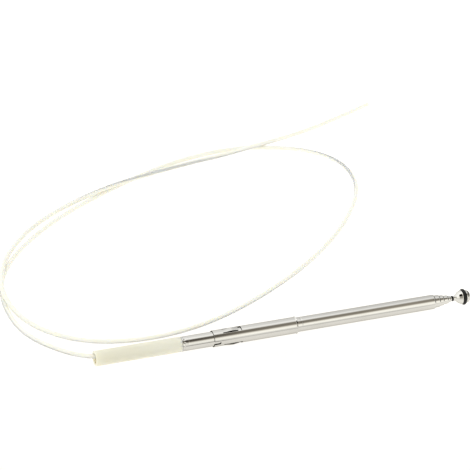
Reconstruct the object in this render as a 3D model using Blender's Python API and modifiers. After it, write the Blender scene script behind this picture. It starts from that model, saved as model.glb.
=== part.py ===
# Replacement mast of a motor-driven telescopic antenna, pushed together and lying on a table.
# The mast runs along +X, from the guide sleeve's cable end to the tip, and +Z is up.
# The toothed drive cable leaves the sleeve and lies in a big loose loop behind the mast.
# Sizes below are in millimetres and become metres in the mesh.

import math

import bmesh
import bpy
import numpy as np
from mathutils import Vector

mm = 0.001

# Guide sleeve
sleeve_length = 60.8
sleeve_diameter = 10.5
sleeve_edge = 0.5
spigot_length = 12.0
spigot_lead = 0.6

# Rod and tubes: each tube is one slide gap and one wall larger than what runs in it
rod_diameter = 3.4
inner_wall = 0.35
outer_wall = 0.45
slide_gap = 0.3
tube_shows = [4.0, 3.1, 3.5, 1.9]
outer_tube_length = 186.7
first_foot_gap = 2.2
foot_gap = 0.1

# Rolled mouth and sprung foot that every tube has
roll_length = 1.6
roll_drop = 0.3
mouth_gap = 0.1
flange_length = 1.2
neck_depth = 0.2
spring_length = 7.0
spring_gap = 0.08
spring_bow = 0.1
spring_slit = 0.8
slit_angle = 30.0
stop_gap = 0.5

# Grooves rolled into the outer tube
groove_length = 2.0
crimp_place = 2.5
crimp_depth = 0.4
stop_groove_gap = 3.3
stop_groove_depth = 0.06

# Contact sleeve with its three spring tongues
contact_place = 22.6
contact_length = 60.4
contact_wall = 0.45
contact_gap = 0.2
rim_length = 3.0
rim_rise = 0.3
tongue_angles = [78.0, -55.0, 190.0]
tongue_place = 6.8
tongue_length = 10.8
tongue_root = 1.0
tongue_rise = 0.5
tongue_half_angle = 19.8
tongue_trim = 0.6
tongue_end_gap = 1.8
slot_width = 0.76
notch_angle = -12.0
notch_length = 4.6
notch_width = 2.4

# Rod, tip and cable end
washer_gap = 1.2
washer_length = 0.9
washer_diameter = 3.9
head_gap = 0.2
neck_diameter = 3.7
neck_length = 1.8
flare_length = 4.6
flare_diameter = 9.8
shoulder_length = 1.9
shoulder_diameter = 7.6
flare_bulge = 0.3
ring_groove_diameter = 6.4
ring_section = 2.4
dome_diameter = 9.0
dome_rim = 0.5
dome_height = 3.8
rod_pin_diameter = 1.6
pin_hole_gap = 0.2
pin_length = 6.0
rod_bore_wall = 0.3
crimp_shank_length = 5.5
crimp_head_length = 4.0
cable_gap = 0.2
cable_clearance = 2.0

# Gap left where two pieces touch, and the bevel on small edges
seat_gap = 0.2
edge_break = 0.2

# How far a cutter reaches past what it cuts
cut_margin = 1.0

# Faces round each turned piece
steps_large = 48
steps_contact = 60
steps_small = 24
steps_head = 40

# Radii of tubes 1 to 5 and of the rod
tube_radii = [rod_diameter / 2]
for wall in [inner_wall] * 4 + [outer_wall]:
    tube_radii.insert(0, tube_radii[0] + slide_gap + wall)
contact_radius = tube_radii[0] + contact_gap + contact_wall
axis_height = contact_radius + rim_rise

# The cable runs through the neck of the innermost tube and through the guide sleeve
cable_diameter = 2 * (tube_radii[4] - inner_wall - neck_depth - cable_gap)
sleeve_bore = cable_diameter + 2 * cable_clearance
crimp_hole_radius = rod_diameter / 2 - neck_depth - rod_bore_wall

# Places along the mast, measured from the cable end of the guide sleeve
tube_foot = sleeve_length + seat_gap
tube_mouth = tube_foot + outer_tube_length
spigot_end = sleeve_length + spigot_length
mouths = [tube_mouth]
for shown in tube_shows:
    mouths.append(mouths[-1] + shown)
neck_reach = flange_length + spring_length + 2 * seat_gap
foot_step = neck_reach + neck_depth + foot_gap
feet = [spigot_end + first_foot_gap + foot_step * step for step in range(5)]
contact_foot = tube_foot + contact_place
contact_top = contact_foot + contact_length
window_length = tongue_root + tongue_length + tongue_end_gap
washer_foot = mouths[-1] + washer_gap
pin_foot = washer_foot - seat_gap
head_foot = washer_foot + washer_length + head_gap
flare_foot = head_foot + neck_length
ring_foot = flare_foot + flare_length
ring_groove_length = ring_section + 2 * seat_gap
dome_foot = ring_foot + ring_groove_length
mast_length = dome_foot + dome_height
crimp_foot = feet[4] - seat_gap - crimp_head_length
cable_start = crimp_foot - seat_gap

# Route of the cable's middle from the sleeve's mouth to its bare end, on the table behind the mast
cable_route = [
    (-80, 0, 6), (-118, 0.2, 6.1), (-131, 0.6, 6.7), (-141, 1.5, 7.8), (-150, 5, 9.3),
    (-157.5, 12.5, 9.9), (-167.5, 37, 7.5), (-171, 62, 4), (-171, 94, 1.8), (-165, 133, 1.6),
    (-121, 206, 1.6), (-28, 277.5, 1.6), (58, 311.5, 1.6), (88, 311, 1.6), (114, 301, 1.6),
    (134, 285, 1.6), (144.5, 264, 1.6), (146.5, 239, 1.6), (116.5, 167, 1.6), (33.5, 80, 1.6),
    (-14.5, 47.5, 1.6), (-54.5, 29.5, 1.6), (-117, 28, 1.6), (-139, 40, 1.6), (-155, 60, 1.6),
    (-165, 85, 2.4), (-168, 108, 4.6), (-163, 140, 5.2), (-150, 174, 3.8), (-134, 202, 1.8),
    (-105, 234, 1.6), (-82, 250, 2.5), (-52, 263, 5.2), (-12, 282.5, 3), (21, 294.5, 1.7),
    (67, 303.5, 2.3), (95, 306, 5.1), (117, 315, 3.6), (156, 333, 1.6), (215, 363.5, 1.6),
]
cable_samples = 1600
least_bend = 0.0015
cable_points = 80


def clear_scene():
    for old in list(bpy.data.objects):
        bpy.data.objects.remove(old, do_unlink=True)


def new_collection(name):
    group = bpy.data.collections.new(name)
    bpy.context.scene.collection.children.link(group)
    return group


def make_material(name, color, roughness, metallic):
    material = bpy.data.materials.new(name)
    material.use_nodes = True
    shader = material.node_tree.nodes["Principled BSDF"]
    shader.inputs["Base Color"].default_value = (*color, 1.0)
    shader.inputs["Roughness"].default_value = roughness
    shader.inputs["Metallic"].default_value = metallic
    return material


def along(place):
    # Height in the mast's own frame, whose zero is halfway along the closed mast
    return (place - mast_length / 2) * mm


def turn(name, points, steps, material, parent, closed=True):
    # points are (place along the mast, radius), down the outer side and back up the inner one
    mesh = bpy.data.meshes.new(name)
    shape = bmesh.new()
    corners = [shape.verts.new((radius * mm, 0, along(place))) for place, radius in points]
    for first, second in zip(corners, corners[1:]):
        shape.edges.new((first, second))
    if closed:
        shape.edges.new((corners[-1], corners[0]))
    shape.to_mesh(mesh)
    shape.free()
    mesh.materials.append(material)
    piece = bpy.data.objects.new(name, mesh)
    part_group.objects.link(piece)
    piece.parent = parent
    screw = piece.modifiers.new("Turn", "SCREW")
    screw.axis = "Z"
    screw.steps = steps
    screw.render_steps = steps
    screw.use_merge_vertices = True
    screw.merge_threshold = 0.00001
    screw.use_smooth_shade = True
    return piece


def sweep_ring(outer, inner):
    # Both sides are listed from the foot up, and the profile runs down the outer one
    return outer[::-1] + inner


def bake(piece):
    # Turns a piece with modifiers into plain mesh
    graph = bpy.context.evaluated_depsgraph_get()
    mesh = bpy.data.meshes.new_from_object(piece.evaluated_get(graph))
    piece.modifiers.clear()
    piece.data = mesh


def local_angle(angle):
    # Angles are given from the front (-Y) towards the top (+Z)
    return -math.radians(90 + angle)


def add_cutter(name, target, cutter):
    cutter.name = name
    for group in list(cutter.users_collection):
        group.objects.unlink(cutter)
    cutter_group.objects.link(cutter)
    cutter.hide_render = True
    cutter.display_type = "WIRE"
    cutter.parent = mast_axis
    cut = target.modifiers.new(name, "BOOLEAN")
    cut.operation = "DIFFERENCE"
    cut.solver = "EXACT"
    cut.object = cutter


def box_cutter(name, target, foot, length, width, angle, offset, near, far):
    # A box that is cut in along a radius; offset moves it sideways, near and far are its radii
    bpy.ops.mesh.primitive_cube_add(size=1)
    box = bpy.context.object
    turned = local_angle(angle)
    middle = (near + far) / 2
    across = Vector((-math.sin(turned), math.cos(turned), 0)) * offset
    out = Vector((math.cos(turned), math.sin(turned), 0)) * middle
    box.location = (out + across) * mm + Vector((0, 0, along(foot + length / 2)))
    box.rotation_euler = (0, 0, turned)
    box.scale = ((far - near) * mm, width * mm, length * mm)
    add_cutter(name, target, box)


def round_cutter(name, target, place, diameter, angle, near, far):
    # A round hole along a radius
    bpy.ops.mesh.primitive_cylinder_add(vertices=24, radius=diameter / 2 * mm, depth=(far - near) * mm)
    rod = bpy.context.object
    turned = local_angle(angle)
    out = Vector((math.cos(turned), math.sin(turned), 0)) * ((near + far) / 2)
    rod.location = out * mm + Vector((0, 0, along(place)))
    rod.rotation_euler = (0, math.pi / 2, turned)
    add_cutter(name, target, rod)


def rolled_mouth(end, radius, wall, inner_radius):
    # Outer and inner points of a tube end that is rolled in round the next tube
    outer = []
    for step in range(5):
        share = step / 4
        drop = roll_drop * (1 - math.cos(share * math.pi / 2))
        outer.append((end - roll_length * (1 - math.sin(share * math.pi / 2)), radius - drop))
    inner = [(end - roll_length, radius - wall), (end - roll_length * 0.6, inner_radius)]
    inner.append((end, inner_radius))
    return outer, inner


def groove(middle, radius, depth):
    half = groove_length / 2
    return [
        (middle - half, radius),
        (middle - half / 2, radius - depth * 0.75),
        (middle, radius - depth),
        (middle + half / 2, radius - depth * 0.75),
        (middle + half, radius),
    ]


def make_guide_sleeve():
    radius = sleeve_diameter / 2
    bore = sleeve_bore / 2
    spigot_radius = tube_radii[0] - outer_wall - slide_gap
    crimp = tube_foot + crimp_place
    outer = [(0, radius - sleeve_edge), (sleeve_edge * 0.3, radius - sleeve_edge * 0.3)]
    outer += [(sleeve_edge, radius), (sleeve_length - edge_break, radius)]
    outer += [(sleeve_length, radius - edge_break), (sleeve_length, spigot_radius)]
    outer += groove(crimp, spigot_radius, crimp_depth)
    outer += [(spigot_end - spigot_lead, spigot_radius), (spigot_end, spigot_radius - spigot_lead)]
    inner = [(0, bore + sleeve_edge), (sleeve_edge, bore), (spigot_end, bore)]
    return turn("guide_sleeve", sweep_ring(outer, inner), steps_large, nylon, mast_axis)


def make_outer_tube():
    radius = tube_radii[0]
    bore = radius - outer_wall
    outer = [(tube_foot, radius)]
    outer += groove(tube_foot + crimp_place, radius, crimp_depth)
    outer += groove(contact_top + stop_groove_gap, radius, stop_groove_depth)
    inner = [(tube_foot, bore)] + groove(tube_foot + crimp_place, bore, crimp_depth)
    mouth_outer, mouth_inner = rolled_mouth(tube_mouth, radius, outer_wall, tube_radii[1] + mouth_gap)
    outer += mouth_outer
    inner += mouth_inner
    return turn("outer_tube", sweep_ring(outer, inner), steps_large, chrome, mast_axis)


def bulge(share):
    return tongue_rise * math.sin(math.pi * share) ** 2


def make_contact_sleeve():
    window = contact_foot + tongue_place
    bore = contact_radius - contact_wall
    places = [contact_foot, window]
    count = 10
    root = window + tongue_root
    places += [root + tongue_length * step / count for step in range(count + 1)]
    places += [window + window_length + cut_margin]
    outer = [(place, contact_radius) for place in places]
    inner = [(place, bore) for place in places]
    for along_rim, share_out in [(1, 0), (0.5, 0.3), (0.2, 0.8), (0, 1)]:
        outer.append((contact_top - rim_length * along_rim, contact_radius + rim_rise * share_out))
    inner += [(contact_top, bore)]
    piece = turn("contact_sleeve", sweep_ring(outer, inner), steps_contact, chrome, mast_axis)
    bake(piece)
    reach = math.radians(tongue_half_angle)
    for vertex in piece.data.vertices:
        share = (vertex.co.z - along(root)) / (tongue_length * mm)
        if not 0 < share < 1:
            continue
        angle = math.atan2(vertex.co.y, vertex.co.x)
        for tongue in tongue_angles:
            away = math.remainder(angle - local_angle(tongue), 2 * math.pi)
            if abs(away) < reach:
                radius = math.hypot(vertex.co.x, vertex.co.y)
                grown = 1 + bulge(share) * mm / radius
                vertex.co.x *= grown
                vertex.co.y *= grown
    side = contact_radius * math.sin(reach)
    near = bore - cut_margin
    far = contact_radius + tongue_rise + cut_margin
    for number, tongue in enumerate(tongue_angles):
        for way in (-1, 1):
            name = f"slot_{number}_{'ab'[way > 0]}"
            box_cutter(name, piece, window, window_length, slot_width, tongue, way * side, near, far)
        free_end = root + tongue_length - tongue_trim
        gap_length = window + window_length - free_end
        gap_width = 2 * side + slot_width * 0.5
        box_cutter(f"gap_{number}", piece, free_end, gap_length, gap_width, tongue, 0, near, far)
    straight = notch_length - notch_width / 2
    start = contact_foot - cut_margin
    box_cutter("notch_box", piece, start, straight + cut_margin, notch_width, notch_angle, 0, near, far)
    round_cutter("notch_end", piece, contact_foot + straight, notch_width, notch_angle, near, far)
    return piece


def make_inner_tube(number, parent):
    # number counts the tubes from the outside, the outer one being 1
    radius = tube_radii[number - 1]
    bore = radius - inner_wall
    foot = feet[number - 2]
    end = mouths[number - 1]
    neck_foot = foot + flange_length
    neck_top = foot + neck_reach
    flange = radius + slide_gap - mouth_gap
    outer = [(foot, flange), (neck_foot, flange), (neck_foot, radius - neck_depth)]
    outer += [(neck_top, radius - neck_depth), (neck_top + neck_depth, radius)]
    inner = [(foot, bore - neck_depth), (neck_top, bore - neck_depth), (neck_top + neck_depth, bore)]
    mouth_outer, mouth_inner = rolled_mouth(end, radius, inner_wall, tube_radii[number] + mouth_gap)
    outer += mouth_outer
    inner += mouth_inner
    return turn(f"tube_{number}", sweep_ring(outer, inner), steps_small, chrome, parent)


def make_foot_spring(number, parent):
    # A slit bronze sleeve that rides in the neck and rubs on the tube outside it
    radius = tube_radii[number - 1]
    foot = feet[number - 2] + flange_length + seat_gap
    top = foot + spring_length
    least = radius - neck_depth + spring_gap
    widest = radius + slide_gap - spring_gap
    outer = [(foot, widest - spring_bow), (foot + spring_length / 3, widest)]
    outer += [(top - spring_length / 3, widest), (top, widest - spring_bow)]
    inner = [(foot, least), (top, least)]
    name = f"foot_spring_{number}"
    piece = turn(name, sweep_ring(outer, inner), steps_small, bronze, parent)
    start = foot - cut_margin
    length = spring_length + 2 * cut_margin
    far = widest + cut_margin
    box_cutter(f"slit_{number}", piece, start, length, spring_slit, slit_angle, 0, least / 2, far)
    return piece


def make_rod(parent):
    radius = tube_radii[5]
    foot = feet[4]
    flange = radius + slide_gap - mouth_gap
    neck_foot = foot + flange_length
    neck_top = foot + neck_reach
    hole_top = foot + crimp_shank_length + seat_gap
    pin = rod_pin_diameter / 2
    points = [(pin_foot + pin_length, 0), (pin_foot + pin_length, pin), (pin_foot, pin)]
    points += [(pin_foot, radius - edge_break), (pin_foot - edge_break, radius)]
    points += [(neck_top + neck_depth, radius), (neck_top, radius - neck_depth)]
    points += [(neck_foot, radius - neck_depth), (neck_foot, flange), (foot, flange)]
    points += [(foot, crimp_hole_radius), (hole_top, crimp_hole_radius), (hole_top, 0)]
    return turn("rod", points, steps_small, chrome, parent, closed=False)


def make_cable_crimp(parent):
    radius = cable_diameter / 2
    shank = crimp_hole_radius - pin_hole_gap
    head_top = crimp_foot + crimp_head_length
    points = [(feet[4] + crimp_shank_length, 0), (feet[4] + crimp_shank_length, shank)]
    points += [(head_top, shank), (head_top, radius), (crimp_foot, radius), (crimp_foot, 0)]
    return turn("cable_crimp", points, steps_small, brass, parent, closed=False)


def make_washer(parent):
    radius = washer_diameter / 2
    hole = rod_pin_diameter / 2 + pin_hole_gap
    top = washer_foot + washer_length
    outer = [(washer_foot, radius - edge_break), (washer_foot + edge_break, radius)]
    outer += [(top - edge_break, radius), (top, radius - edge_break)]
    inner = [(washer_foot, hole), (top, hole)]
    return turn("bump_washer", sweep_ring(outer, inner), steps_small, rubber, parent)


def make_tip_head(parent):
    neck = neck_diameter / 2
    flare = flare_diameter / 2
    dome = dome_diameter / 2
    hole = rod_pin_diameter / 2 + pin_hole_gap
    hole_top = pin_foot + pin_length + seat_gap
    points = []
    count = 10
    for step in range(count):
        turned = step / count * math.pi / 2
        rise = (dome_height - dome_rim) * math.cos(turned)
        points.append((dome_foot + dome_rim + rise, dome * math.sin(turned)))
    points += [(dome_foot + dome_rim, dome), (dome_foot, dome - edge_break)]
    points += [(dome_foot, ring_groove_diameter / 2), (ring_foot, ring_groove_diameter / 2)]
    points.append((ring_foot, flare - edge_break))
    # The flare swells past its shoulder and drops to the neck as a steep cone
    shoulder = shoulder_diameter / 2
    swell = flare_length - shoulder_length - edge_break
    count = 5
    for step in range(count + 1):
        along = 1 - step / count
        rise = along + flare_bulge * along * (1 - along)
        points.append((flare_foot + shoulder_length + swell * along, shoulder + (flare - shoulder) * rise))
    points += [(flare_foot, neck), (head_foot + edge_break, neck), (head_foot, neck - edge_break)]
    points += [(head_foot, hole), (hole_top, hole), (hole_top, 0)]
    return turn("tip_head", points, steps_head, chrome, parent, closed=False)


def make_o_ring(parent):
    middle = ring_groove_diameter / 2 + seat_gap / 2 + ring_section / 2
    centre = ring_foot + ring_groove_length / 2
    count = 14
    points = []
    for step in range(count):
        turned = -step / count * 2 * math.pi
        out = ring_section / 2 * math.cos(turned)
        up = ring_section / 2 * math.sin(turned)
        points.append((centre + up, middle + out))
    return turn("o_ring", points, steps_head, rubber, parent)


def smooth_route(points, samples):
    # Natural cubic curve through the points, read off at even steps of chord length
    knots = np.array(points, dtype=float)
    spans = np.linalg.norm(np.diff(knots, axis=0), axis=1)
    reach = np.concatenate(([0], np.cumsum(spans)))
    count = len(knots)
    system = np.eye(count)
    right = np.zeros((count, 3))
    for row in range(1, count - 1):
        before = spans[row - 1]
        after = spans[row]
        system[row, row - 1:row + 2] = before, 2 * (before + after), after
        rise = (knots[row + 1] - knots[row]) / after
        right[row] = 6 * (rise - (knots[row] - knots[row - 1]) / before)
    bends = np.linalg.solve(system, right)
    curve = []
    for place in np.linspace(0, reach[-1], samples):
        left = min(int(np.searchsorted(reach, place, side="right")) - 1, count - 2)
        span = spans[left]
        after = place - reach[left]
        before = span - after
        point = (bends[left] * before ** 3 + bends[left + 1] * after ** 3) / (6 * span)
        point = point + (knots[left] / span - bends[left] * span / 6) * before
        point = point + (knots[left + 1] / span - bends[left + 1] * span / 6) * after
        point[2] = max(point[2], cable_diameter / 2)
        curve.append(point)
    return np.array(curve)


def spread_points(curve, count):
    # Fewer points, closer together where the curve bends more
    steps = np.linalg.norm(np.diff(curve, axis=0), axis=1)
    heading = np.diff(curve, axis=0) / steps[:, None]
    bend = np.linalg.norm(np.diff(heading, axis=0), axis=1) / steps[1:]
    need = np.sqrt(np.maximum(bend, least_bend)) * steps[1:]
    reach = np.concatenate(([0, 0], np.cumsum(need)))
    wanted = np.linspace(0, reach[-1], count)
    return np.array([np.interp(wanted, reach, curve[:, side]) for side in range(3)]).T


def make_cable():
    start = (cable_start - mast_length / 2, 0, axis_height)
    curve = smooth_route([start] + cable_route, cable_samples)
    points = spread_points(curve, cable_points)
    data = bpy.data.curves.new("drive_cable", "CURVE")
    data.dimensions = "3D"
    data.bevel_depth = cable_diameter / 2 * mm
    data.bevel_resolution = 2
    data.use_fill_caps = True
    line = data.splines.new("POLY")
    line.points.add(len(points) - 1)
    for spot, point in zip(line.points, points):
        spot.co = (*(point * mm), 1)
    data.materials.append(cable_nylon)
    piece = bpy.data.objects.new("drive_cable", data)
    part_group.objects.link(piece)
    return piece


def make_slide(number):
    # Each moving section hangs on an empty on the mast's axis, which slides along X
    slide = bpy.data.objects.new(f"slide_{number}", None)
    slide.empty_display_size = 0.01
    part_group.objects.link(slide)
    slide.parent = mast_axis
    return slide


def print_strokes():
    for number in range(2, 7):
        stroke = mouths[number - 2] - roll_length - feet[number - 2] - neck_reach - stop_gap
        print(f"stroke of section {number}: {stroke:.2f} mm")
    print(f"mast length {mast_length:.2f} mm, axis height {axis_height:.2f} mm")


clear_scene()
part_group = new_collection("telescopic_antenna_mast")
cutter_group = new_collection("cutters")

nylon = make_material("ivory_nylon", (0.80, 0.76, 0.63), 0.45, 0.0)
cable_nylon = make_material("cable_nylon", (0.87, 0.85, 0.77), 0.4, 0.0)
chrome = make_material("chrome", (0.80, 0.80, 0.79), 0.1, 1.0)
bronze = make_material("spring_bronze", (0.62, 0.43, 0.22), 0.3, 1.0)
brass = make_material("brass", (0.72, 0.56, 0.27), 0.25, 1.0)
rubber = make_material("black_rubber", (0.02, 0.02, 0.02), 0.55, 0.0)

mast_axis = bpy.data.objects.new("mast_axis", None)
part_group.objects.link(mast_axis)
mast_axis.location = (0, 0, axis_height * mm)
mast_axis.rotation_euler = (0, math.pi / 2, 0)
bpy.context.view_layer.update()

make_guide_sleeve()
make_outer_tube()
make_contact_sleeve()
make_cable()
for section in range(2, 6):
    carrier = make_slide(section)
    make_inner_tube(section, carrier)
    make_foot_spring(section, carrier)
rod_carrier = make_slide(6)
make_rod(rod_carrier)
make_foot_spring(6, rod_carrier)
make_cable_crimp(rod_carrier)
make_washer(rod_carrier)
make_tip_head(rod_carrier)
make_o_ring(rod_carrier)
print_strokes()
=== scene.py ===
import math

import bmesh
import bpy
import numpy as np
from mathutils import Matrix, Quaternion, Vector


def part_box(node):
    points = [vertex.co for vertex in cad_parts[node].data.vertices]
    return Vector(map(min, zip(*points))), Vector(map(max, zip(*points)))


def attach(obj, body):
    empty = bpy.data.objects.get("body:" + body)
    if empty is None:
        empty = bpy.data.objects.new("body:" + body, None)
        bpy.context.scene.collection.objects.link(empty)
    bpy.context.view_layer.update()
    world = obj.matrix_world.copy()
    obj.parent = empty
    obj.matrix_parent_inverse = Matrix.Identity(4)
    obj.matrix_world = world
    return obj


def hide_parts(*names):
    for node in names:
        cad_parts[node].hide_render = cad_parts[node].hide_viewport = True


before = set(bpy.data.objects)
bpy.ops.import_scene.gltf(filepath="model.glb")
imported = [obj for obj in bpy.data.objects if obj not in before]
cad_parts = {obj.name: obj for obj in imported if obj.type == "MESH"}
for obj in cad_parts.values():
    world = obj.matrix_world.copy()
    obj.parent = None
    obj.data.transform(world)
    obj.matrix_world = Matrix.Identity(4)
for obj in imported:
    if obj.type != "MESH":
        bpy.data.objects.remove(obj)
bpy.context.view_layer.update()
print("frame loaded")

mm = 0.001


# Camera: where the photograph was taken from

camera = {
    "azimuth": -20.4,
    "elevation": 25.0,
    "distance": 1.8,
    "roll": 0.127,
    "aim": (-0.0007, 0.1001, 0.03126),
    "lens": 193.25,
    "sensor": 36.0,
    "nearest": 0.01,
    "furthest": 50.0,
}


def makeCamera():
    turn = math.radians(camera["azimuth"])
    tilt = math.radians(camera["elevation"])
    level = math.cos(tilt)
    back = Vector((math.sin(turn) * level, -math.cos(turn) * level, math.sin(tilt)))
    data = bpy.data.cameras.new("photoCamera")
    data.lens = camera["lens"]
    data.sensor_width = camera["sensor"]
    data.clip_start = camera["nearest"]
    data.clip_end = camera["furthest"]
    eye = bpy.data.objects.new("photoCamera", data)
    bpy.context.scene.collection.objects.link(eye)
    eye.location = Vector(camera["aim"]) + back * camera["distance"]
    roll = Quaternion((0, 0, 1), math.radians(camera["roll"]))
    eye.rotation_euler = ((-back).to_track_quat("-Z", "Y") @ roll).to_euler()
    bpy.context.scene.camera = eye


makeCamera()
print("camera placed")


# Node trees, for finishes, the surroundings and the pieces that repeat

class Value:
    # One socket of a node tree that can stand in an expression

    def __init__(self, tree, socket):
        self.tree = tree
        self.socket = socket

    def work(self, operation, first, second):
        node = self.tree.nodes.new("ShaderNodeMath")
        node.operation = operation
        for port, item in zip(node.inputs, (first, second)):
            if isinstance(item, Value):
                self.tree.links.new(item.socket, port)
            elif item is not None:
                port.default_value = item
        return Value(self.tree, node.outputs[0])

    def __add__(self, other):
        return self.work("ADD", self, other)

    def __radd__(self, other):
        return self.work("ADD", other, self)

    def __sub__(self, other):
        return self.work("SUBTRACT", self, other)

    def __rsub__(self, other):
        return self.work("SUBTRACT", other, self)

    def __mul__(self, other):
        return self.work("MULTIPLY", self, other)

    def __rmul__(self, other):
        return self.work("MULTIPLY", other, self)

    def __truediv__(self, other):
        return self.work("DIVIDE", self, other)

    def least(self, other):
        return self.work("MINIMUM", self, other)

    def most(self, other):
        return self.work("MAXIMUM", self, other)

    def sine(self):
        return self.work("SINE", self, None)

    def cosine(self):
        return self.work("COSINE", self, None)

    def arcCosine(self):
        return self.work("ARCCOSINE", self, None)

    def angleTo(self, other):
        return self.work("ARCTAN2", self, other)


class Tree:
    # Adds nodes to a tree: type, settings first, then the values or links of the sockets

    def __init__(self, tree):
        self.tree = tree

    def add(self, kind, settings=None, sockets=None, out=0):
        node = self.tree.nodes.new(kind)
        for name, setting in (settings or {}).items():
            if name == "stops":
                self.setStops(node.color_ramp, setting)
            else:
                setattr(node, name, setting)
        for key, item in (sockets or {}).items():
            self.feed(node.inputs[key], item)
        return Value(self.tree, node.outputs[out])

    def feed(self, port, item):
        if isinstance(item, Value):
            self.tree.links.new(item.socket, port)
        else:
            port.default_value = item

    def setStops(self, ramp, stops):
        while len(ramp.elements) < len(stops):
            ramp.elements.new(1.0)
        for element, (place, color) in zip(ramp.elements, stops):
            element.position = place
            element.color = color

    def split(self, vector):
        node = self.tree.nodes.new("ShaderNodeSeparateXYZ")
        self.feed(node.inputs[0], vector)
        return [Value(self.tree, port) for port in node.outputs]

    def ease(self, value, start, stop, low=0.0, high=1.0):
        # Goes smoothly from low to high while value goes from start to stop
        settings = {"interpolation_type": "SMOOTHSTEP"}
        sockets = {0: value, 1: start, 2: stop, 3: low, 4: high}
        return self.add("ShaderNodeMapRange", settings, sockets)

    def mixColors(self, share, first, second):
        sockets = {0: share, 6: first, 7: second}
        return self.add("ShaderNodeMix", {"data_type": "RGBA"}, sockets, 2)


class Finish(Tree):
    # A material: one Principled shader and what feeds it

    def __init__(self, name, **fixed):
        self.material = bpy.data.materials.new(name)
        self.material.use_nodes = True
        super().__init__(self.material.node_tree)
        self.shader = self.tree.nodes["Principled BSDF"]
        for key, item in fixed.items():
            self.shader.inputs[key.replace("_", " ")].default_value = item
        self.place = self.add("ShaderNodeTexCoord", out="Object")

    def noise(self, scale, detail=4.0, roughness=0.6, stretch=(1, 1, 1)):
        place = self.add("ShaderNodeMapping", {}, {0: self.place, 3: stretch})
        sockets = {"Vector": place, "Scale": scale, "Detail": detail, "Roughness": roughness}
        return self.add("ShaderNodeTexNoise", {"noise_dimensions": "3D"}, sockets)

    def facingInwards(self, height, start, stop):
        # 1 where the surface faces along the axis, round it or towards it, 0 where it faces out
        normal = self.add("ShaderNodeNewGeometry", out="True Normal")
        centred = self.add("ShaderNodeMapping", {}, {0: self.place, 1: (0, 0, -height), 3: (0, 1, 1)})
        outwards = self.add("ShaderNodeVectorMath", {"operation": "NORMALIZE"}, {0: centred})
        facing = self.add("ShaderNodeVectorMath", {"operation": "DOT_PRODUCT"}, {0: normal, 1: outwards}, 1)
        return 1.0 - self.ease(facing, start, stop)

    def color(self, item):
        self.feed(self.shader.inputs["Base Color"], item)

    def roughness(self, item):
        self.feed(self.shader.inputs["Roughness"], item)

    def dullness(self, look, first, second, share):
        # Roughness from the look's gloss to its dull. share of that comes from first, the rest from second
        spread = look["dull"] - look["gloss"]
        self.roughness(look["gloss"] + first * spread * share + second * spread * (1 - share))

    def bump(self, height, distance, strength=1.0):
        sockets = {"Height": height, "Distance": distance, "Strength": strength}
        self.feed(self.shader.inputs["Normal"], self.add("ShaderNodeBump", {}, sockets))


# Finishes. Scales are in lumps per metre, depths in metres, and a range is where a pattern starts
# to show and where it is full

chromeLook = {
    "clean": (0.63, 0.622, 0.588, 1),
    "hazed": (0.56, 0.55, 0.515, 1),
    # Near black: bare steel at the cut edges, darkened further as painted shade for the gap under a sheet
    # sleeve
    "bare": (0.09, 0.085, 0.075, 1),
    "edge": (0.6, 0.59, 0.56, 1),
    "gloss": 0.045,
    "haze": 0.11,
    "streakScale": 900.0,
    "streakStretch": (0.02, 1, 1),
    "turnedStretch": (1, 0.08, 0.08),
    "streakRange": (0.5, 0.8),
    "streakDulling": 0.5,
    "streakDepth": 0.0000012,
    "cloudScale": 60.0,
    "smearScale": 240.0,
    "smearStretch": (0.35, 1, 1),
    "smearShare": 0.4,
    "hazeRange": (0.45, 0.75),
    "hazeTint": 0.55,
    "hazeDulling": 0.6,
    "bareRange": (0.45, 0.7),
    "bareDulling": 0.3,
}


def makeChrome(name, turned=False, shadedCutEdges=False):
    # Plated steel: fine marks along a drawn tube, or round a turned piece, and a little haze.
    # With cut edges on, the cut edges and the inside of a sheet sleeve turn near black: the cut edges are
    # partly bare unplated steel, and the dark colour on them and on the inside is painted shade for the
    # narrow gap under the sleeve
    look = chromeLook
    finish = Finish(name, Metallic=1.0, Specular_Tint=look["edge"])
    stretch = look["turnedStretch"] if turned else look["streakStretch"]
    marks = finish.noise(look["streakScale"], stretch=stretch)
    clouds = finish.noise(look["cloudScale"])
    smears = finish.noise(look["smearScale"], 3.0, 0.55, look["smearStretch"])
    smeared = clouds * (1 - look["smearShare"]) + smears * look["smearShare"]
    haze = finish.ease(smeared, *look["hazeRange"])
    streaks = finish.ease(marks, *look["streakRange"])
    color = finish.mixColors(haze * look["hazeTint"], look["clean"], look["hazed"])
    spread = look["haze"] - look["gloss"]
    gloss = look["gloss"] + haze * spread * look["hazeDulling"] + streaks * spread * look["streakDulling"]
    if shadedCutEdges:
        # Painted shade: faces turned along or into the axis, the cut edges and the sleeve's inside, are made
        # near black and duller
        bare = finish.facingInwards(axisHeight, *look["bareRange"])
        color = finish.mixColors(bare, color, look["bare"])
        gloss = gloss + bare * look["bareDulling"]
    finish.color(color)
    finish.roughness(gloss)
    finish.bump(marks, look["streakDepth"])
    return finish.material


nylon = {
    "index": 1.53,
    "glowTint": (1.0, 0.9, 0.7),
    "cloudRange": (0.38, 0.68),
    "cloudTint": 0.75,
    "cloudDulling": 0.6,
    "grainStrength": 0.6,
}

ivoryLook = {
    "glow": 0.7,
    "depth": 0.005,
    "light": (0.845, 0.81, 0.65, 1),
    "dark": (0.79, 0.75, 0.585, 1),
    "gloss": 0.36,
    "dull": 0.5,
    "cloudScale": 55.0,
    "cloudStretch": (0.4, 1, 1),
    "grainScale": 2600.0,
    "grainDepth": 0.000012,
}

cableLook = {
    "glow": 0.8,
    "depth": 0.003,
    "light": (0.865, 0.86, 0.77, 1),
    "dark": (0.84, 0.83, 0.735, 1),
    "gloss": 0.32,
    "dull": 0.48,
    "cloudScale": 38.0,
    "cloudStretch": (1, 1, 1),
    "grainScale": 1900.0,
    "grainDepth": 0.00001,
}


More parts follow.
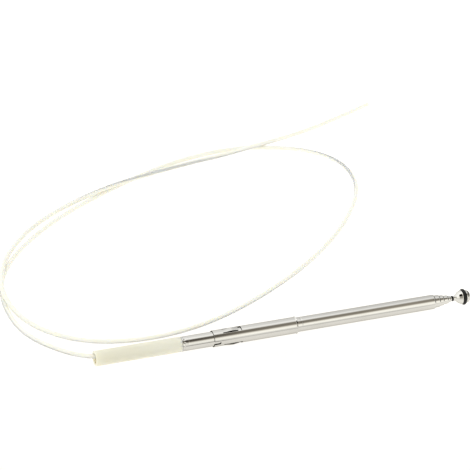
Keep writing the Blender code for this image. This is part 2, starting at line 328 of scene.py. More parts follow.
def makeNylon(name, look):
    finish = Finish(name, IOR=nylon["index"], Subsurface_Weight=look["glow"],
                    Subsurface_Scale=look["depth"], Subsurface_Radius=nylon["glowTint"])
    clouds = finish.noise(look["cloudScale"], stretch=look["cloudStretch"])
    grain = finish.noise(look["grainScale"], 3.0)
    tone = finish.ease(clouds, *nylon["cloudRange"])
    finish.color(finish.mixColors(tone * nylon["cloudTint"], look["light"], look["dark"]))
    finish.dullness(look, tone, grain, nylon["cloudDulling"])
    finish.bump(grain, look["grainDepth"], nylon["grainStrength"])
    return finish.material


rubberLook = {
    "index": 1.5,
    "sheen": 0.25,
    "deep": (0.005, 0.005, 0.004, 1),
    "dusty": (0.02, 0.02, 0.017, 1),
    "gloss": 0.4,
    "dull": 0.58,
    "dustScale": 900.0,
    "cloudScale": 260.0,
    "cloudShare": 0.3,
    "dustRange": (0.5, 0.72),
    "dustDulling": 0.7,
    "grainScale": 3500.0,
    "grainDepth": 0.00002,
    "grainStrength": 0.5,
}


def makeRubber(name):
    look = rubberLook
    finish = Finish(name, IOR=look["index"], Specular_IOR_Level=look["sheen"])
    dust = finish.noise(look["dustScale"], 5.0, 0.65)
    clouds = finish.noise(look["cloudScale"], 3.0, 0.55)
    grain = finish.noise(look["grainScale"], 3.0)
    clouded = dust * (1 - look["cloudShare"]) + clouds * look["cloudShare"]
    dusted = finish.ease(clouded, *look["dustRange"])
    finish.color(finish.mixColors(dusted, look["deep"], look["dusty"]))
    finish.dullness(look, dusted, grain, look["dustDulling"])
    finish.bump(grain, look["grainDepth"], look["grainStrength"])
    return finish.material


bareMetal = {
    "streakStretch": (1, 0.1, 0.1),
    "streakDepth": 0.000004,
    "streakStrength": 0.6,
    "cloudScale": 180.0,
    "tarnishRange": (0.42, 0.7),
    "tarnishTint": 0.7,
    "tarnishDulling": 0.6,
}

bronzeLook = {
    "clean": (0.66, 0.44, 0.22, 1),
    "dark": (0.38, 0.23, 0.11, 1),
    "gloss": 0.22,
    "dull": 0.42,
    "streakScale": 700.0,
}

brassLook = {
    "clean": (0.78, 0.60, 0.28, 1),
    "dark": (0.50, 0.36, 0.15, 1),
    "gloss": 0.2,
    "dull": 0.4,
    "streakScale": 800.0,
}


def makeBareMetal(name, look):
    finish = Finish(name, Metallic=1.0)
    marks = finish.noise(look["streakScale"], stretch=bareMetal["streakStretch"])
    clouds = finish.noise(bareMetal["cloudScale"])
    tarnish = finish.ease(clouds, *bareMetal["tarnishRange"])
    finish.color(finish.mixColors(tarnish * bareMetal["tarnishTint"], look["clean"], look["dark"]))
    finish.dullness(look, tarnish, marks, bareMetal["tarnishDulling"])
    finish.bump(marks, bareMetal["streakDepth"], bareMetal["streakStrength"])
    return finish.material


tubeLow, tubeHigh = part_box("outer_tube")
axisHeight = (tubeLow.z + tubeHigh.z) / 2
tubeChrome = makeChrome("tubeChrome")
turnedChrome = makeChrome("turnedChrome", turned=True)
# Chrome with painted shade on the sleeve's cut edges and inside
sheetChrome = makeChrome("sheetChrome", shadedCutEdges=True)
ivoryNylon = makeNylon("ivoryNylon", ivoryLook)
cableNylon = makeNylon("cableNylon", cableLook)
blackRubber = makeRubber("blackRubber")
springBronze = makeBareMetal("springBronze", bronzeLook)
turnedBrass = makeBareMetal("turnedBrass", brassLook)
print("finishes made")


# Turned pieces: every one is an outline of (place along X, distance from the axis), in millimetres

turning = {
    "cornerSteps": 4,
    "cornerShare": 0.48,
    "longStraight": 1.6,
    "braceGap": 0.15,
    "sharpAngle": 32,
}

atAxis = 1e-6


def nodeSize(node):
    # First place, last place and radius of a CAD node
    low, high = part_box(node)
    return low.x / mm, high.x / mm, (high.z - low.z) / 2 / mm


def roundCorners(corners, steps=turning["cornerSteps"]):
    # corners are (place, radius) or (place, radius, rounding)
    outline = []
    count = len(corners)
    for index, corner in enumerate(corners):
        here = Vector(corner[:2])
        rounding = corner[2] if len(corner) > 2 else 0
        if not rounding:
            outline.append(here)
            continue
        before = Vector(corners[index - 1][:2]) - here
        after = Vector(corners[(index + 1) % count][:2]) - here
        first = here + before.normalized() * min(rounding, before.length * turning["cornerShare"])
        last = here + after.normalized() * min(rounding, after.length * turning["cornerShare"])
        for step in range(steps + 1):
            share = step / steps
            outline.append(first * (1 - share) ** 2 + here * 2 * share * (1 - share) + last * share ** 2)
    return outline


def braced(outline, poles):
    # A point just inside both ends of each long straight, so that smooth shading stays straight there
    points = []
    for index, here in enumerate(outline):
        here = Vector(here)
        points.append(here)
        if poles and index == len(outline) - 1:
            break
        following = Vector(outline[(index + 1) % len(outline)])
        if (following - here).length > turning["longStraight"]:
            step = (following - here).normalized() * turning["braceGap"]
            points += [here + step, following - step]
    return points


def turnPiece(name, outline, steps, material):
    # Radii of zero at the outline's ends close it with poles, otherwise it closes on itself
    poles = outline[0][1] < atAxis
    shape = bmesh.new()
    rings = []
    for place, radius in braced(outline, poles):
        if radius < atAxis:
            rings.append([shape.verts.new((place * mm, 0, axisHeight))])
            continue
        ring = []
        for step in range(steps):
            angle = 2 * math.pi * step / steps
            across = radius * mm * math.cos(angle)
            up = axisHeight + radius * mm * math.sin(angle)
            ring.append(shape.verts.new((place * mm, across, up)))
        rings.append(ring)
    pairs = list(zip(rings, rings[1:]))
    if len(rings[0]) > 1:
        pairs.append((rings[-1], rings[0]))
    for first, second in pairs:
        for step in range(steps):
            after = (step + 1) % steps
            corners = [first[step % len(first)], first[after % len(first)]]
            corners += [second[after % len(second)], second[step % len(second)]]
            shape.faces.new(list(dict.fromkeys(corners)))
    bmesh.ops.recalc_face_normals(shape, faces=shape.faces)
    mesh = bpy.data.meshes.new(name)
    shape.to_mesh(mesh)
    shape.free()
    mesh.materials.append(material)
    piece = bpy.data.objects.new(name, mesh)
    bpy.context.scene.collection.objects.link(piece)
    return piece


def finishPiece(piece, body, node):
    piece.data.shade_smooth()
    piece.data.set_sharp_from_angle(angle=math.radians(turning["sharpAngle"]))
    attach(piece, body)
    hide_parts(node)


# Drive cable

cable = {
    "diameter": 3.2,
    "toothPitch": 1.6,
    "toothLength": 1.05,
    "toothDepth": 0.4,
    "toothTaper": 0.12,
    "toothSink": 0.2,
    "sinkPace": 4.0,
    "turnsPerMetre": 1.3,
    "wander": 1.4,
    "wanderPace": 9.0,
    "crimpGap": 0.2,
    "sides": 16,
    "samples": 2600,
    "pathStep": 2,
}

# Route of the cable's middle from inside the mast to its bare end, in millimetres
cableRoute = [
    (-80, 0, 6), (-118, 0.2, 6.1), (-131, 0.6, 6.7), (-141, 1.5, 7.8), (-150, 5, 9.3),
    (-157.5, 12.5, 9.9), (-167.5, 37, 7.5), (-171, 62, 4), (-171, 94, 1.8), (-165, 133, 1.6),
    (-121, 206, 1.6), (-28, 277.5, 1.6), (58, 311.5, 1.6), (88, 311, 1.6), (114, 301, 1.6),
    (134, 285, 1.6), (144.5, 264, 1.6), (146.5, 239, 1.6), (116.5, 167, 1.6), (33.5, 80, 1.6),
    (-14.5, 47.5, 1.6), (-54.5, 29.5, 1.6), (-117, 28, 1.6), (-139, 40, 1.6), (-155, 60, 1.6),
    (-165, 85, 2.4), (-168, 108, 4.6), (-163, 140, 5.2), (-150, 174, 3.8), (-134, 202, 1.8),
    (-105, 234, 1.6), (-82, 250, 2.5), (-52, 263, 5.2), (-12, 282.5, 3), (21, 294.5, 1.7),
    (67, 303.5, 2.3), (95, 306, 5.1), (117, 315, 3.6), (156, 333, 1.6), (215, 363.5, 1.6),
]


def smoothRoute(points, samples):
    # Natural cubic curve through the points
    knots = np.array(points, dtype=float)
    spans = np.linalg.norm(np.diff(knots, axis=0), axis=1)
    reach = np.concatenate(([0], np.cumsum(spans)))
    count = len(knots)
    system = np.eye(count)
    right = np.zeros((count, 3))
    for row in range(1, count - 1):
        before = spans[row - 1]
        after = spans[row]
        system[row, row - 1:row + 2] = before, 2 * (before + after), after
        rise = (knots[row + 1] - knots[row]) / after
        right[row] = 6 * (rise - (knots[row] - knots[row - 1]) / before)
    bends = np.linalg.solve(system, right)
    curve = []
    for place in np.linspace(0, reach[-1], samples):
        left = min(int(np.searchsorted(reach, place, side="right")) - 1, count - 2)
        span = spans[left]
        after = place - reach[left]
        before = span - after
        point = (bends[left] * before ** 3 + bends[left + 1] * after ** 3) / (6 * span)
        point = point + (knots[left] / span - bends[left] * span / 6) * before
        point = point + (knots[left + 1] / span - bends[left + 1] * span / 6) * after
        point[2] = max(point[2], cable["diameter"] / 2)
        curve.append(point)
    return np.array(curve)


def rackTree():
    # Follows the route with a D-shaped core and sets a tooth on its flat at every pitch
    group = bpy.data.node_groups.new("rackCable", "GeometryNodeTree")
    inputs = [
        ("Geometry", "Geometry"), ("Diameter", "Float"), ("Tooth Pitch", "Float"), ("Tooth Length", "Float"),
        ("Tooth Depth", "Float"), ("Tooth Taper", "Float"), ("Twist", "Float"), ("Sides", "Int"),
        ("Material", "Material"),
    ]
    for name, kind in inputs:
        group.interface.new_socket(name=name, in_out="INPUT", socket_type="NodeSocket" + kind)
    group.interface.new_socket(name="Geometry", in_out="OUTPUT", socket_type="NodeSocketGeometry")
    tree = Tree(group)
    entry = group.nodes.new("NodeGroupInput")
    given = {port.name: Value(group, port) for port in entry.outputs if port.name}
    radius = given["Diameter"] * 0.5
    flat = radius - given["Tooth Depth"]

    # The flat turns slowly round the cable, and wanders a little as it does
    route = tree.add("GeometryNodeMeshToCurve", {}, {0: given["Geometry"]})
    along = tree.add("GeometryNodeSplineParameter", out="Length")
    tilt = along * given["Twist"] + (along * cable["wanderPace"]).sine() * cable["wander"]
    tilted = tree.add("GeometryNodeSetCurveTilt", {}, {0: route, 2: tilt})
    spaced = tree.add("GeometryNodeResampleCurve", {"mode": "LENGTH"}, {0: tilted, 3: given["Tooth Pitch"]})

    # Core: a circle whose far side is pressed flat
    circle = tree.add("GeometryNodeCurvePrimitiveCircle", {}, {0: given["Sides"], 4: radius})
    spot = tree.add("GeometryNodeInputPosition")
    spotX, spotY, spotZ = tree.split(spot)
    pressed = tree.add("ShaderNodeCombineXYZ", {}, {0: spotX.least(flat), 1: spotY, 2: spotZ})
    profile = tree.add("GeometryNodeSetPosition", {}, {0: circle, 2: pressed})
    core = tree.add("GeometryNodeCurveToMesh", {},
                    {"Curve": spaced, "Profile Curve": profile, "Fill Caps": True})

    # Tooth: a short cylinder whose front half is spread over the arc beyond the flat and whose back
    # half is drawn together below it. It is narrower at its top
    disc = tree.add("GeometryNodeMeshCylinder", {"fill_type": "NGON"},
                    {"Vertices": given["Sides"], "Radius": radius, "Depth": given["Tooth Length"]})
    quarter = math.pi / 2
    turn = spotY.angleTo(spotX)
    back = (turn.most(turn * -1.0) / quarter - 1.0).most(0.0)
    reach = (flat / radius).arcCosine()
    arc = (turn * reach / quarter).least(reach).most(reach * -1.0)
    sunk = (back * cable["sinkPace"]).least(1.0) * given["Tooth Depth"] * cable["toothSink"]
    outward = arc.cosine() * radius - sunk
    sideways = arc.sine() * radius * (1.0 - back)
    rise = (outward - flat).most(0.0) / given["Tooth Depth"]
    narrowed = spotZ * (1.0 - rise * given["Tooth Taper"] / given["Tooth Length"] * 2.0)
    cut = tree.add("ShaderNodeCombineXYZ", {}, {0: outward, 1: sideways, 2: narrowed})
    tooth = tree.add("GeometryNodeSetPosition", {}, {0: disc, 2: cut})
    heading = tree.add("GeometryNodeInputTangent")
    side = tree.add("GeometryNodeInputNormal")
    facing = tree.add("FunctionNodeAxesToRotation", {"primary_axis": "Z", "secondary_axis": "X"},
                      {0: heading, 1: side})
    teeth = tree.add("GeometryNodeInstanceOnPoints", {},
                     {"Points": spaced, "Instance": tooth, "Rotation": facing})

    both = group.nodes.new("GeometryNodeJoinGeometry")
    group.links.new(core.socket, both.inputs[0])
    group.links.new(teeth.socket, both.inputs[0])
    real = tree.add("GeometryNodeRealizeInstances", {}, {0: Value(group, both.outputs[0])})
    painted = tree.add("GeometryNodeSetMaterial", {}, {"Geometry": real, "Material": given["Material"]})
    leave = group.nodes.new("NodeGroupOutput")
    group.links.new(painted.socket, leave.inputs[0])
    return group


def makeCable():
    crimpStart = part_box("cable_crimp")[0].x / mm
    start = (crimpStart - cable["crimpGap"], 0, axisHeight / mm)
    curve = smoothRoute([start] + cableRoute, cable["samples"]) * mm
    host = bpy.data.meshes.new("cableRoute")
    links = [(index, index + 1) for index in range(len(curve) - 1)]
    host.from_pydata([tuple(point) for point in curve], links, [])
    guide = bpy.data.objects.new("cableRoute", host)
    bpy.context.scene.collection.objects.link(guide)
    group = rackTree()
    values = {
        "Diameter": cable["diameter"] * mm,
        "Tooth Pitch": cable["toothPitch"] * mm,
        "Tooth Length": cable["toothLength"] * mm,
        "Tooth Depth": cable["toothDepth"] * mm,
        "Tooth Taper": cable["toothTaper"] * mm,
        "Twist": cable["turnsPerMetre"] * 2 * math.pi,
        "Sides": cable["sides"],
        "Material": cableNylon,
    }
    maker = guide.modifiers.new("Rack", "NODES")
    maker.node_group = group
    for item in group.interface.items_tree:
        if item.in_out == "INPUT" and item.name in values:
            maker[item.identifier] = values[item.name]
    graph = bpy.context.evaluated_depsgraph_get()
    mesh = bpy.data.meshes.new_from_object(guide.evaluated_get(graph))
    mesh.name = "driveCable"
    bpy.data.objects.remove(guide, do_unlink=True)
    piece = bpy.data.objects.new("driveCable", mesh)
    bpy.context.scene.collection.objects.link(piece)
    finishPiece(piece, "outer", "drive_cable")


makeCable()


# Guide sleeve. The outer tube is crimped into its spigot

sleeve = {
    "bore": 7.2,
    "boreRounding": 0.5,
    "endRounding": 0.25,
    "shoulderRounding": 0.35,
    "seatGap": 0.2,
    "spigotDiameter": 8.6,
    "spigotRounding": 0.6,
    "spigotBoreRounding": 0.2,
    "crimpPlace": 1.6,
    "crimpLength": 2.0,
    "crimpDepth": 0.4,
    "crimpRounding": 0.8,
    "cornerSteps": 6,
    "steps": 128,
}


def makeGuideSleeve():
    start, end, radius = nodeSize("guide_sleeve")
    tubeStart = nodeSize("outer_tube")[0]
    shoulder = tubeStart - sleeve["seatGap"]
    bore = sleeve["bore"] / 2
    spigot = sleeve["spigotDiameter"] / 2
    crimp = tubeStart + sleeve["crimpPlace"]
    half = sleeve["crimpLength"] / 2
    corners = [
        (start, bore, sleeve["boreRounding"]),
        (start, radius, sleeve["endRounding"]),
        (shoulder, radius, sleeve["shoulderRounding"]),
        (shoulder, spigot),
        (crimp - half, spigot),
        (crimp, spigot - sleeve["crimpDepth"], sleeve["crimpRounding"]),
        (crimp + half, spigot),
        (end, spigot, sleeve["spigotRounding"]),
        (end, bore, sleeve["spigotBoreRounding"]),
    ]
    outline = roundCorners(corners, sleeve["cornerSteps"])
    piece = turnPiece("guideSleeve", outline, sleeve["steps"], ivoryNylon)
    finishPiece(piece, "outer", "guide_sleeve")


# Tubes and rod

tubes = {
    "outerWall": 0.45,
    "innerWall": 0.35,
    "slideGap": 0.3,
    "mouthGap": 0.1,
    "mouthStraight": 5.0,
    "rollLength": 1.6,
    "rollDrop": 0.3,
    "rollInside": 0.6,
    "rollSteps": 12,
    "lipReach": 0.45,
    "lipSteps": 8,
    "footLength": 1.0,
    "footRounding": 0.15,
    "footBoreRounding": 0.1,
    "flangeLength": 1.2,
    "flangeRounding": 0.12,
    "neckDepth": 0.2,
    "neckReach": 8.6,
    "neckStartRounding": 0.05,
    "neckEndRounding": 0.1,
    "grooveLength": 2.0,
    "grooveSteps": 12,
    "stopGroovePlace": 86.3,
    "stopGrooveDepth": 0.06,
    "crimpDepth": 0.015,
    "beadPlace": 4.35,
    "beadLength": 1.1,
    "beadRise": 0.012,
    "punches": 12,
    "punchDepth": 0.3,
    "punchWidth": 0.42,
    "punchReach": 1.2,
    "steps": 144,
    "fewerSteps": 16,
}


def rolledMouth(end, radius, wall):
    # Outside down to the lip, round it and back along the inside
    drop = tubes["rollDrop"]
    roll = tubes["rollLength"]
    inner = radius - wall - tubes["slideGap"] + tubes["mouthGap"]
    lip = radius - drop - inner
    outline = []
    for step in range(tubes["rollSteps"]):
        turn = step / tubes["rollSteps"] * math.pi / 2
        outline.append((end - roll * (1 - math.sin(turn)), radius - drop * (1 - math.cos(turn))))
    for step in range(tubes["lipSteps"] + 1):
        turn = step / tubes["lipSteps"] * math.pi / 2
        back = lip * tubes["lipReach"] * (1 - math.cos(turn))
        outline.append((end - back, radius - drop - lip * math.sin(turn) ** 2))
    outline.append((end - roll * tubes["rollInside"], inner))
    outline.append((end - roll, radius - wall))
    return outline


def groovePoints(middle, radius, depth, length):
    points = []
    for step in range(tubes["grooveSteps"] + 1):
        share = step / tubes["grooveSteps"]
        points.append((middle + (share - 0.5) * length, radius - depth * math.sin(math.pi * share) ** 2))
    return points


def makeOuterTube():
    start, end, radius = nodeSize("outer_tube")
    wall = tubes["outerWall"]
    crimp = start + sleeve["crimpPlace"]
    bead = start + tubes["beadPlace"]
    stop = start + tubes["stopGroovePlace"]
    length = tubes["grooveLength"]
    corners = [(start, radius - wall, tubes["footBoreRounding"]), (start, radius, tubes["footRounding"])]
    outline = roundCorners(corners + [(start + tubes["footLength"], radius)])[:-1]
    outline += groovePoints(crimp, radius, tubes["crimpDepth"], length)
    outline += groovePoints(bead, radius, -tubes["beadRise"], tubes["beadLength"])
    outline += groovePoints(stop, radius, tubes["stopGrooveDepth"], length)
    outline += rolledMouth(end, radius, wall)
    outline += groovePoints(crimp, radius - wall, tubes["crimpDepth"], length)[::-1]
    piece = turnPiece("outerTube", outline, tubes["steps"], tubeChrome)
    punchCrimp(piece, crimp, radius)
    finishPiece(piece, "outer", "outer_tube")


def punchCrimp(piece, crimp, radius):
    # Punch marks all round the crimped place
    width = tubes["punchWidth"]
    for vertex in piece.data.vertices:
        place = vertex.co.x / mm - crimp
        if abs(place) > tubes["punchReach"]:
            continue
        across = vertex.co.y / mm
        up = (vertex.co.z - axisHeight) / mm
        angle = math.atan2(up, across) / (2 * math.pi) * tubes["punches"]
        away = abs(angle - round(angle)) / tubes["punches"] * 2 * math.pi * radius
        closeness = math.exp(-(away / width) ** 2 - (place / width) ** 2)
        shrink = 1 - tubes["punchDepth"] * closeness / math.hypot(across, up)
        vertex.co.y *= shrink
        vertex.co.z = axisHeight + (vertex.co.z - axisHeight) * shrink


def makeInnerTube(number):
    node = f"tube_{number}"
    start, end, flange = nodeSize(node)
    radius = flange - tubes["slideGap"] + tubes["mouthGap"]
    wall = tubes["innerWall"]
    neckStart = start + tubes["flangeLength"]
    neckEnd = start + tubes["neckReach"]
    depth = tubes["neckDepth"]
    corners = [
        (start, radius - wall - depth),
        (start, flange, tubes["flangeRounding"]),
        (neckStart, flange, tubes["flangeRounding"]),
        (neckStart, radius - depth, tubes["neckStartRounding"]),
        (neckEnd, radius - depth),
        (neckEnd + depth, radius, tubes["neckEndRounding"]),
        (end - tubes["mouthStraight"], radius),
    ]
    outline = roundCorners(corners)[:-1]
    outline += rolledMouth(end, radius, wall)
    outline += [(neckEnd + depth, radius - wall), (neckEnd, radius - wall - depth)]
    steps = tubes["steps"] - tubes["fewerSteps"] * (number - 1)
    piece = turnPiece(f"tube{number}", outline, steps, tubeChrome)
    finishPiece(piece, f"section_{number}", node)


rod = {
    "pinDiameter": 1.6,
    "pinLength": 6.0,
    "pinRounding": 0.2,
    "shoulderRounding": 0.25,
    "flangeRounding": 0.1,
    "boreDiameter": 2.4,
    "boreDepth": 5.7,
    "boreRounding": 0.05,
    "steps": 64,
}


def makeRod():
    start, end, flange = nodeSize("rod")
    radius = flange - tubes["slideGap"] + tubes["mouthGap"]
    neckStart = start + tubes["flangeLength"]
    neckEnd = start + tubes["neckReach"]
    depth = tubes["neckDepth"]
    pin = rod["pinDiameter"] / 2
    bore = rod["boreDiameter"] / 2
    boreEnd = start + rod["boreDepth"]
    shoulder = end - rod["pinLength"]
    corners = [
        (boreEnd, 0),
        (boreEnd, bore),
        (start, bore, rod["boreRounding"]),
        (start, flange, rod["flangeRounding"]),
        (neckStart, flange, rod["flangeRounding"]),
        (neckStart, radius - depth),
        (neckEnd, radius - depth),
        (neckEnd + depth, radius, tubes["neckEndRounding"]),
        (shoulder, radius, rod["shoulderRounding"]),
        (shoulder, pin),
        (end, pin, rod["pinRounding"]),
        (end, 0),
    ]
    piece = turnPiece("innerRod", roundCorners(corners), rod["steps"], tubeChrome)
    finishPiece(piece, "rod_section", "rod")


# Contact sleeve, a slit sheet sleeve with spring tongues

contact = {
    "wall": 0.45,
    "gap": 0.2,
    "footLength": 2.0,
    "footRounding": 0.1,
    "rimRise": 0.3,
    "rimFace": 0.1,
    "lipLength": 0.9,
    "lipBend": 0.3,
    "lipSteps": 12,
    "chamferLength": 0.3,
    "chamferDepth": 0.1,
    "tongueAngles": [78.0, -55.0, 190.0],
    "tonguePlace": 6.8,
    "tongueLength": 10.8,
    "tongueRoot": 1.0,
    "tongueRise": 0.5,
    "tongueHalfAngle": 19.8,
    "tongueTrim": 0.6,
    "tongueEndGap": 1.8,
    "tongueRows": 28,
    "slotWidth": 0.76,
    "slotRounding": 0.25,
    "gapOverlap": 0.5,
    "notchAngle": -12.0,
    "notchLength": 4.6,
    "notchWidth": 2.4,
    "notchRounding": 0.49,
    "notchRunOut": 2.0,
    "cutMargin": 1.0,
    "cutSteps": 4,
    "steps": 240,
}


def cutBox(name, place, length, width, angle, offset, near, far, rounding):
    # A box cut in along a radius, with its four corners rounded; angle runs from the front to the top
    shape = bmesh.new()
    bmesh.ops.create_cube(shape, size=1)
    upright = [edge for edge in shape.edges if edge.verts[0].co.z * edge.verts[1].co.z < 0]
    bmesh.ops.scale(shape, vec=(length, width, far - near), verts=shape.verts)
    bmesh.ops.bevel(shape, geom=upright, offset=rounding, segments=contact["cutSteps"], affect="EDGES",
                    profile=0.5)
    turn = math.radians(angle)
    out = Vector((0, -math.cos(turn), math.sin(turn)))
    across = Vector((0, math.sin(turn), math.cos(turn)))
    for vertex in shape.verts:
        along, side, deep = vertex.co
        spot = out * (deep + (near + far) / 2) + across * (side + offset)
        vertex.co = Vector((place + length / 2 + along, spot.y, spot.z + axisHeight / mm)) * mm
    bmesh.ops.recalc_face_normals(shape, faces=shape.faces)
    mesh = bpy.data.meshes.new(name)
    shape.to_mesh(mesh)
    shape.free()
    cutter = bpy.data.objects.new(name, mesh)
    bpy.context.scene.collection.objects.link(cutter)
    return cutter


def cutAway(piece, cutters):
    for cutter in cutters:
        cut = piece.modifiers.new(cutter.name, "BOOLEAN")
        cut.operation = "DIFFERENCE"
        cut.solver = "EXACT"
        cut.object = cutter
    graph = bpy.context.evaluated_depsgraph_get()
    mesh = bpy.data.meshes.new_from_object(piece.evaluated_get(graph))
    piece.modifiers.clear()
    piece.data = mesh
    for cutter in cutters:
        bpy.data.objects.remove(cutter, do_unlink=True)


def raiseTongues(piece, root):
    # Bows each tongue outwards between its root and its free end
    reach = math.radians(contact["tongueHalfAngle"])
    for vertex in piece.data.vertices:
        share = (vertex.co.x / mm - root) / contact["tongueLength"]
        if not 0 < share < 1:
            continue
        up = (vertex.co.z - axisHeight) / mm
        across = vertex.co.y / mm
        angle = math.atan2(up, -across)
        for tongue in contact["tongueAngles"]:
            if abs(math.remainder(angle - math.radians(tongue), 2 * math.pi)) < reach:
                out = math.hypot(across, up)
                grown = 1 + contact["tongueRise"] * math.sin(math.pi * share) ** 2 / out
                vertex.co.y *= grown
                vertex.co.z = axisHeight + (vertex.co.z - axisHeight) * grown


def lipRise(share):
    # Eases out of the sleeve over the lip's bend, and goes on as a straight cone
    bend = contact["lipBend"]
    eased = share ** 2 / (2 * bend) if share < bend else share - bend / 2
    return contact["rimRise"] * eased / (1 - bend / 2)


def makeContactSleeve():
    start, end, _ = nodeSize("contact_sleeve")
    radius = nodeSize("outer_tube")[2] + contact["gap"] + contact["wall"]
    bore = radius - contact["wall"]
    window = start + contact["tonguePlace"]
    root = window + contact["tongueRoot"]
    length = contact["tongueLength"]
    windowLength = contact["tongueRoot"] + length + contact["tongueEndGap"]
    windowEnd = window + windowLength
    margin = contact["cutMargin"]
    count = contact["tongueRows"]
    rows = [root + length * step / count for step in range(count + 1)] + [windowEnd + margin]
    corners = [(start, bore), (start, radius, contact["footRounding"])]
    outline = roundCorners(corners + [(start + contact["footLength"], radius)])[:-1]
    outline += [(row, radius) for row in rows]
    for step in range(contact["lipSteps"] + 1):
        share = step / contact["lipSteps"]
        outline.append((end - contact["lipLength"] * (1 - share), radius + lipRise(share)))
    outline.append((end, radius + contact["rimRise"] - contact["rimFace"]))
    outline.append((end, bore + contact["chamferDepth"]))
    outline.append((end - contact["chamferLength"], bore))
    outline += [(row, bore) for row in rows[::-1]]
    piece = turnPiece("contactSleeve", outline, contact["steps"], sheetChrome)
    raiseTongues(piece, root)

    side = radius * math.sin(math.radians(contact["tongueHalfAngle"]))
    near = bore - margin
    far = radius + contact["tongueRise"] + margin
    slotWidth = contact["slotWidth"]
    slotRounding = contact["slotRounding"]
    freeEnd = root + length - contact["tongueTrim"]
    gapWidth = 2 * side + slotWidth * contact["gapOverlap"]
    cutters = []
    for number, tongue in enumerate(contact["tongueAngles"]):
        for way in (-1, 1):
            cutters.append(cutBox(f"slot{number}{way}", window, windowLength, slotWidth, tongue, way * side,
                                  near, far, slotRounding))
        cutters.append(cutBox(f"gap{number}", freeEnd, windowEnd - freeEnd, gapWidth, tongue, 0,
                              near, far, slotRounding))
    runOut = contact["notchRunOut"]
    notchWidth = contact["notchWidth"]
    cutters.append(cutBox("notch", start - runOut, contact["notchLength"] + runOut, notchWidth,
                          contact["notchAngle"], 0, near, far, notchWidth * contact["notchRounding"]))
    cutAway(piece, cutters)
    finishPiece(piece, "outer", "contact_sleeve")


# Tip

tip = {
    "neckDiameter": 3.7,
    "neckLength": 1.8,
    "neckRounding": 0.25,
    "neckFillet": 0.5,
    "shoulderLength": 1.9,
    "shoulderDiameter": 7.6,
    "shoulderRounding": 0.2,
    "flareLength": 4.6,
    "flareDiameter": 9.8,
    "flareBulge": 0.3,
    "flareRounding": 0.1,
    "flareSteps": 7,
    "edgeBreak": 0.2,
    "grooveLength": 2.8,
    "grooveDiameter": 6.4,
    "grooveRounding": 0.15,
    "domeDiameter": 9.0,
    "domeRim": 0.5,
    "domeRounding": 0.25,
    "domeHeight": 3.8,
    "domeSteps": 24,
    "holeDiameter": 2.0,
    "holeDepth": 5.1,
    "holeRounding": 0.08,
    "cornerSteps": 6,
    "steps": 128,
}


def makeTipHead():
    start = nodeSize("tip_head")[0]
    neck = tip["neckDiameter"] / 2
    flare = tip["flareDiameter"] / 2
    dome = tip["domeDiameter"] / 2
    hole = tip["holeDiameter"] / 2
    groove = tip["grooveDiameter"] / 2
    shoulder = tip["shoulderDiameter"] / 2
    holeEnd = start + tip["holeDepth"]
    flareStart = start + tip["neckLength"]
    shoulderPlace = flareStart + tip["shoulderLength"]
    ringStart = flareStart + tip["flareLength"]
    domeStart = ringStart + tip["grooveLength"]
    domeFoot = domeStart + tip["domeRim"]
    corners = [
        (holeEnd, 0),
        (holeEnd, hole),
        (start, hole, tip["holeRounding"]),
        (start, neck, tip["neckRounding"]),
        (flareStart, neck, tip["neckFillet"]),
        (shoulderPlace, shoulder, tip["shoulderRounding"]),
    ]
    swell = ringStart - tip["edgeBreak"] - shoulderPlace
    for step in range(1, tip["flareSteps"] + 1):
        along = step / tip["flareSteps"]
        rise = along + tip["flareBulge"] * along * (1 - along)
        corners.append((shoulderPlace + swell * along, shoulder + (flare - shoulder) * rise))
    corners += [
        (ringStart, flare - tip["edgeBreak"], tip["flareRounding"]),
        (ringStart, groove, tip["grooveRounding"]),
        (domeStart, groove, tip["grooveRounding"]),
        (domeStart, dome, tip["domeRounding"]),
        (domeFoot, dome),
    ]
    outline = roundCorners(corners, tip["cornerSteps"])
    rise = tip["domeHeight"] - tip["domeRim"]
    for step in range(1, tip["domeSteps"]):
        turn = step / tip["domeSteps"] * math.pi / 2
        outline.append((domeFoot + rise * math.sin(turn), dome * math.cos(turn)))
    outline.append((domeFoot + rise, 0))
    piece = turnPiece("tipHead", outline, tip["steps"], turnedChrome)
    finishPiece(piece, "rod_section", "tip_head")


def makeRing(sectionSteps=32):
    start, end, widest = nodeSize("o_ring")
    middle = (start + end) / 2
    section = (end - start) / 2
    outline = []
    for step in range(sectionSteps):
        turn = step / sectionSteps * 2 * math.pi
        outline.append((middle + section * math.cos(turn), widest - section + section * math.sin(turn)))
    piece = turnPiece("sealRing", outline, tip["steps"], blackRubber)
    finishPiece(piece, "rod_section", "o_ring")


def makeWasher(rounding=0.3, steps=64):
    start, end, radius = nodeSize("bump_washer")
    hole = tip["holeDiameter"] / 2
    corners = [(start, hole), (start, radius, rounding), (end, radius, rounding), (end, hole)]
    piece = turnPiece("bumpWasher", roundCorners(corners, tip["cornerSteps"]), steps, blackRubber)
    finishPiece(piece, "rod_section", "bump_washer")


makeGuideSleeve()
makeOuterTube()
makeContactSleeve()
for number in range(2, 6):
    makeInnerTube(number)
makeRod()
makeTipHead()
makeRing()
makeWasher()
print("mast made")


def repaint(node, material):
    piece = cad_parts[node]
    for port in piece.material_slots:
        port.material = material


for number in range(2, 7):
    repaint(f"foot_spring_{number}", springBronze)
repaint("cable_crimp", turnedBrass)
print("inner pieces painted")


# Studio: a pale floor, a soft light from above and a tent that the chrome mirrors. A pair is where
# something starts and where it is full, on the floor in metres

